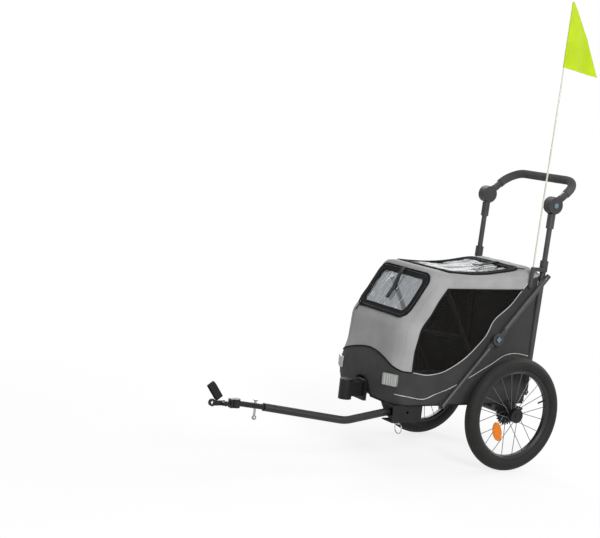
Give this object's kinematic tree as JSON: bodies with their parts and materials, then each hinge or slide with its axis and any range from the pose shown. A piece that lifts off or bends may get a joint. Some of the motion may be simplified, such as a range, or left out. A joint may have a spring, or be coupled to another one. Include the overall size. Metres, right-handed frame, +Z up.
{
  "type": "dog bike trailer",
  "caption": "Folding dog bike trailer with spoked wheels, a fabric cabin with mesh and clear windows, a tilting push handle, a side drawbar with a hitch, and a safety flag.",
  "frame": {"origin": "on the ground under the middle of the part's box", "axes": "+Z up, the front and the drawbar towards -Y, +X to the trailer's left"},
  "size_m": [0.577, 1.3771, 1.6285],
  "materials": {
    "tyre": "matte",
    "rim": "satin",
    "steel": "bright",
    "plastic": "moulded",
    "amber": "prismatic",
    "clear_plate": "prismatic",
    "frame_tube": "powder coat",
    "board": "painted",
    "pad": "padded",
    "canopy": "woven",
    "dark_fabric": "woven",
    "mesh": "net",
    "window": "clear film",
    "button": "moulded",
    "foam": "foam",
    "band": "reflective",
    "webbing": "woven",
    "pole": "fibreglass",
    "flag": "fluorescent"
  },
  "bodies": {
    "base": {"base_frame": "frame_tube", "floor_board": "board", "floor_pad": "pad", "axle_beam": "frame_tube", "axle_sockets": "steel", "frame_brackets": "frame_tube", "rear_hinges": "frame_tube", "side_panel_left": "dark_fabric", "side_panel_right": "dark_fabric", "mesh_window_left": "mesh", "mesh_window_right": "mesh", "front_panel": "canopy", "roof_panel": "canopy", "rear_panel": "dark_fabric", "drawbar_bracket": "frame_tube", "drawbar_pin": "steel", "wheel_receiver": "plastic", "front_reflectors": "clear_plate"},
    "rear_frame": {"rear_frame": "frame_tube", "handle_posts": "frame_tube", "frame_pins": "steel", "handle_collars": "plastic", "tilt_sleeves": "plastic"},
    "handle": {"handle_bar": "frame_tube", "foam_grip": "foam", "handle_bands": "band", "tilt_hubs": "plastic"},
    "brake": {"brake_bar": "frame_tube"},
    "roof_hoop": {"roof_hoop": "frame_tube"},
    "nose_hoop": {"nose_hoop": "frame_tube"},
    "front_flap": {"front_flap": "window"},
    "roof_flap": {"roof_flap": "window"},
    "drawbar": {"drawbar": "frame_tube", "hitch_tongue": "steel", "hitch_pin": "plastic"},
    "hitch_swivel": {"hitch_swivel": "plastic"},
    "coupler": {"coupler_arm": "plastic", "safety_strap": "webbing"},
    "flag": {"flag_pole": "pole", "flag": "flag"},
    "wheel_left": {"tyre_left": "tyre", "rim_left": "rim", "hub_left": "plastic", "spokes_left": "steel", "spoke_reflector_left": "amber"},
    "release_button_left": {"release_button_left": "plastic"},
    "tilt_button_left": {"tilt_button_left": "button"},
    "upper_strut_left": {"upper_strut_left": "frame_tube"},
    "lower_strut_left": {"lower_strut_left": "frame_tube"},
    "strut_button_left": {"strut_button_left": "button"},
    "wheel_right": {"tyre_right": "tyre", "rim_right": "rim", "hub_right": "plastic", "spokes_right": "steel", "spoke_reflector_right": "amber"},
    "release_button_right": {"release_button_right": "plastic"},
    "tilt_button_right": {"tilt_button_right": "button"},
    "upper_strut_right": {"upper_strut_right": "frame_tube"},
    "lower_strut_right": {"lower_strut_right": "frame_tube"},
    "strut_button_right": {"strut_button_right": "button"}
  },
  "joints": [
    {"name": "fold", "type": "hinge", "parent": "base", "child": "rear_frame", "pos_m": [0, 0.54073, 0.262], "axis": [1, 0, 0], "range_deg": [0, 80], "deforming": ["side_panel_left", "side_panel_right", "mesh_window_left", "mesh_window_right", "front_panel", "front_flap", "roof_panel", "roof_flap", "rear_panel"]},
    {"name": "roof_hoop_fold", "type": "hinge", "parent": "base", "child": "roof_hoop", "pos_m": [0, 0.36573, 0.262], "axis": [1, 0, 0], "range_deg": [0, 46]},
    {"name": "nose_hoop_fold", "type": "hinge", "parent": "roof_hoop", "child": "nose_hoop", "pos_m": [0, 0.25363, 0.44994], "axis": [1, 0, 0], "range_deg": [-46, 0]},
    {"name": "wheel_spin_left", "type": "hinge", "parent": "base", "child": "wheel_left", "pos_m": [0.258, 0.42873, 0.2], "axis": [1, 0, 0], "continuous": true},
    {"name": "release_press_left", "type": "slide", "parent": "wheel_left", "child": "release_button_left", "axis": [1, 0, 0], "range_m": [-0.004, 0], "stiffness_N_per_m": 400},
    {"name": "tilt_press_left", "type": "slide", "parent": "handle", "child": "tilt_button_left", "axis": [1, 0, 0], "range_m": [-0.004, 0], "stiffness_N_per_m": 400},
    {"name": "upper_strut_fold_left", "type": "hinge", "parent": "rear_frame", "child": "upper_strut_left", "pos_m": [0.203, 0.55348, 0.6678], "axis": [1, 0, 0], "range_deg": [0, 60.3]},
    {"name": "lower_strut_fold_left", "type": "hinge", "parent": "upper_strut_left", "child": "lower_strut_left", "pos_m": [0.203, 0.36775, 0.45397], "axis": [1, 0, 0], "range_deg": [-156.2, 0]},
    {"name": "strut_press_left", "type": "slide", "parent": "upper_strut_left", "child": "strut_button_left", "axis": [1, 0, 0], "range_m": [-0.003, 0], "stiffness_N_per_m": 400},
    {"name": "wheel_spin_right", "type": "hinge", "parent": "base", "child": "wheel_right", "pos_m": [-0.258, 0.42873, 0.2], "axis": [1, 0, 0], "continuous": true},
    {"name": "release_press_right", "type": "slide", "parent": "wheel_right", "child": "release_button_right", "axis": [-1, 0, 0], "range_m": [-0.004, 0], "stiffness_N_per_m": 400},
    {"name": "tilt_press_right", "type": "slide", "parent": "handle", "child": "tilt_button_right", "axis": [-1, 0, 0], "range_m": [-0.004, 0], "stiffness_N_per_m": 400},
    {"name": "upper_strut_fold_right", "type": "hinge", "parent": "rear_frame", "child": "upper_strut_right", "pos_m": [-0.203, 0.55348, 0.6678], "axis": [1, 0, 0], "range_deg": [0, 60.3]},
    {"name": "lower_strut_fold_right", "type": "hinge", "parent": "upper_strut_right", "child": "lower_strut_right", "pos_m": [-0.203, 0.36775, 0.45397], "axis": [1, 0, 0], "range_deg": [-156.2, 0]},
    {"name": "strut_press_right", "type": "slide", "parent": "upper_strut_right", "child": "strut_button_right", "axis": [-1, 0, 0], "range_m": [-0.003, 0], "stiffness_N_per_m": 400},
    {"name": "handle_tilt", "type": "hinge", "parent": "rear_frame", "child": "handle", "pos_m": [0, 0.56168, 0.92867], "axis": [1, 0, 0], "range_deg": [-60, 45]},
    {"name": "brake_press", "type": "hinge", "parent": "base", "child": "brake", "pos_m": [0, 0.49473, 0.211], "axis": [1, 0, 0], "range_deg": [-34, 0]},
    {"name": "front_flap_open", "type": "hinge", "parent": "base", "child": "front_flap", "pos_m": [0, 0.10281, 0.66115], "axis": [1, 0, 0], "range_deg": [-110, 0]},
    {"name": "roof_flap_open", "type": "hinge", "parent": "base", "child": "roof_flap", "pos_m": [0, 0.48072, 0.69751], "axis": [1, 0, 0], "range_deg": [-100, 0]},
    {"name": "drawbar_swing", "type": "hinge", "parent": "base", "child": "drawbar", "pos_m": [0.15, 0.02873, 0.193], "axis": [0, 0, 1], "range_deg": [-90, 0]},
    {"name": "hitch_yaw", "type": "hinge", "parent": "drawbar", "child": "hitch_swivel", "pos_m": [0.1, -0.58327, 0.224], "axis": [0, 0, 1], "range_deg": [-60, 60]},
    {"name": "hitch_pitch", "type": "hinge", "parent": "hitch_swivel", "child": "coupler", "pos_m": [0.1, -0.62327, 0.224], "axis": [1, 0, 0], "range_deg": [-25, 25]},
    {"name": "flag_pull", "type": "slide", "parent": "rear_frame", "child": "flag", "axis": [0, 0.0314, 0.9995], "range_m": [0, 0.065]}
  ],
  "couplings": [
    {"joint": "roof_hoop_fold", "follows": "fold", "ratio": 0.575},
    {"joint": "nose_hoop_fold", "follows": "fold", "ratio": -0.575},
    {"joint": "upper_strut_fold_left", "follows": "fold", "ratio": 0.75375},
    {"joint": "lower_strut_fold_left", "follows": "fold", "ratio": -1.9525},
    {"joint": "upper_strut_fold_right", "follows": "fold", "ratio": 0.75375},
    {"joint": "lower_strut_fold_right", "follows": "fold", "ratio": -1.9525}
  ]
}
